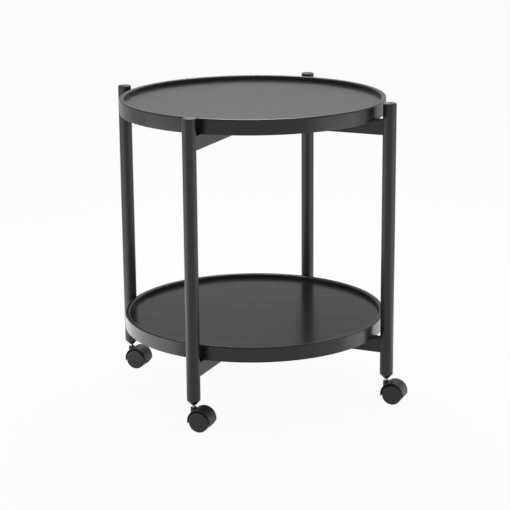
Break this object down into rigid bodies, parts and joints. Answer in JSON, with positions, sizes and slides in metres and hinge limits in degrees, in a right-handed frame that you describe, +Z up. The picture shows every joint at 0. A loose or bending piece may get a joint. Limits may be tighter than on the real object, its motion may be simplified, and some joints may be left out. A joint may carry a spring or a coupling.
{
  "type": "rolling table",
  "caption": "Round two-tier rolling side table: raised-rim wooden trays on crossed bars between round legs, on swivel twin-wheel castors.",
  "frame": {"origin": "on the floor, under the middle of the trays", "axes": "+Z up; the legs stand on the diagonals between X and Y, and -Y is the front"},
  "size_m": [0.4999, 0.5, 0.571],
  "materials": {
    "stained_wood": "satin black stain",
    "tray_panel_wood": "satin black stain",
    "dowel_wood": "bare beech",
    "castor_plastic": "satin",
    "wheel_plastic": "satin",
    "steel": "bright zinc"
  },
  "bodies": {
    "frame": {"upper_tray_rim": "stained_wood", "upper_tray_panel": "tray_panel_wood", "upper_cross_bar_over": "stained_wood", "upper_cross_bar_under": "stained_wood", "upper_bar_studs": "steel", "upper_barrel_nuts": "steel", "upper_bar_dowels": "dowel_wood", "upper_tray_screws": "steel", "lower_tray_rim": "stained_wood", "lower_tray_panel": "tray_panel_wood", "lower_cross_bar_over": "stained_wood", "lower_cross_bar_under": "stained_wood", "lower_bar_studs": "steel", "lower_barrel_nuts": "steel", "lower_bar_dowels": "dowel_wood", "lower_tray_screws": "steel", "front_left_leg": "stained_wood", "front_left_castor_socket": "castor_plastic", "front_right_leg": "stained_wood", "front_right_castor_socket": "castor_plastic", "back_right_leg": "stained_wood", "back_right_castor_socket": "castor_plastic", "back_left_leg": "stained_wood", "back_left_castor_socket": "castor_plastic"},
    "front_left_castor": {"front_left_castor_hood": "castor_plastic", "front_left_castor_stem": "steel", "front_left_castor_grip_ring": "steel", "front_left_castor_axle": "steel"},
    "front_left_wheel_near": {"front_left_castor_wheel_near": "wheel_plastic"},
    "front_left_wheel_far": {"front_left_castor_wheel_far": "wheel_plastic"},
    "front_right_castor": {"front_right_castor_hood": "castor_plastic", "front_right_castor_stem": "steel", "front_right_castor_grip_ring": "steel", "front_right_castor_axle": "steel"},
    "front_right_wheel_near": {"front_right_castor_wheel_near": "wheel_plastic"},
    "front_right_wheel_far": {"front_right_castor_wheel_far": "wheel_plastic"},
    "back_right_castor": {"back_right_castor_hood": "castor_plastic", "back_right_castor_stem": "steel", "back_right_castor_grip_ring": "steel", "back_right_castor_axle": "steel"},
    "back_right_wheel_near": {"back_right_castor_wheel_near": "wheel_plastic"},
    "back_right_wheel_far": {"back_right_castor_wheel_far": "wheel_plastic"},
    "back_left_castor": {"back_left_castor_hood": "castor_plastic", "back_left_castor_stem": "steel", "back_left_castor_grip_ring": "steel", "back_left_castor_axle": "steel"},
    "back_left_wheel_near": {"back_left_castor_wheel_near": "wheel_plastic"},
    "back_left_wheel_far": {"back_left_castor_wheel_far": "wheel_plastic"}
  },
  "joints": [
    {"name": "front_left_castor_swivel", "type": "hinge", "parent": "frame", "child": "front_left_castor", "pos_m": [-0.19233, -0.19233, 0.0404], "axis": [0, 0, 1], "continuous": true},
    {"name": "front_left_wheel_near_spin", "type": "hinge", "parent": "front_left_castor", "child": "front_left_wheel_near", "pos_m": [-0.18027, -0.20359, 0.019], "axis": [0.682, 0.7314, 0], "continuous": true},
    {"name": "front_left_wheel_far_spin", "type": "hinge", "parent": "front_left_castor", "child": "front_left_wheel_far", "pos_m": [-0.18027, -0.20359, 0.019], "axis": [0.682, 0.7314, 0], "continuous": true},
    {"name": "front_right_castor_swivel", "type": "hinge", "parent": "frame", "child": "front_right_castor", "pos_m": [0.19233, -0.19233, 0.0404], "axis": [0, 0, 1], "continuous": true},
    {"name": "front_right_wheel_near_spin", "type": "hinge", "parent": "front_right_castor", "child": "front_right_wheel_near", "pos_m": [0.2044, -0.20359, 0.019], "axis": [0.682, 0.7314, 0], "continuous": true},
    {"name": "front_right_wheel_far_spin", "type": "hinge", "parent": "front_right_castor", "child": "front_right_wheel_far", "pos_m": [0.2044, -0.20359, 0.019], "axis": [0.682, 0.7314, 0], "continuous": true},
    {"name": "back_right_castor_swivel", "type": "hinge", "parent": "frame", "child": "back_right_castor", "pos_m": [0.19233, 0.19233, 0.0404], "axis": [0, 0, 1], "continuous": true},
    {"name": "back_right_wheel_near_spin", "type": "hinge", "parent": "back_right_castor", "child": "back_right_wheel_near", "pos_m": [0.2044, 0.18108, 0.019], "axis": [0.682, 0.7314, 0], "continuous": true},
    {"name": "back_right_wheel_far_spin", "type": "hinge", "parent": "back_right_castor", "child": "back_right_wheel_far", "pos_m": [0.2044, 0.18108, 0.019], "axis": [0.682, 0.7314, 0], "continuous": true},
    {"name": "back_left_castor_swivel", "type": "hinge", "parent": "frame", "child": "back_left_castor", "pos_m": [-0.19233, 0.19233, 0.0404], "axis": [0, 0, 1], "continuous": true},
    {"name": "back_left_wheel_near_spin", "type": "hinge", "parent": "back_left_castor", "child": "back_left_wheel_near", "pos_m": [-0.18027, 0.18108, 0.019], "axis": [0.682, 0.7314, 0], "continuous": true},
    {"name": "back_left_wheel_far_spin", "type": "hinge", "parent": "back_left_castor", "child": "back_left_wheel_far", "pos_m": [-0.18027, 0.18108, 0.019], "axis": [0.682, 0.7314, 0], "continuous": true}
  ]
}
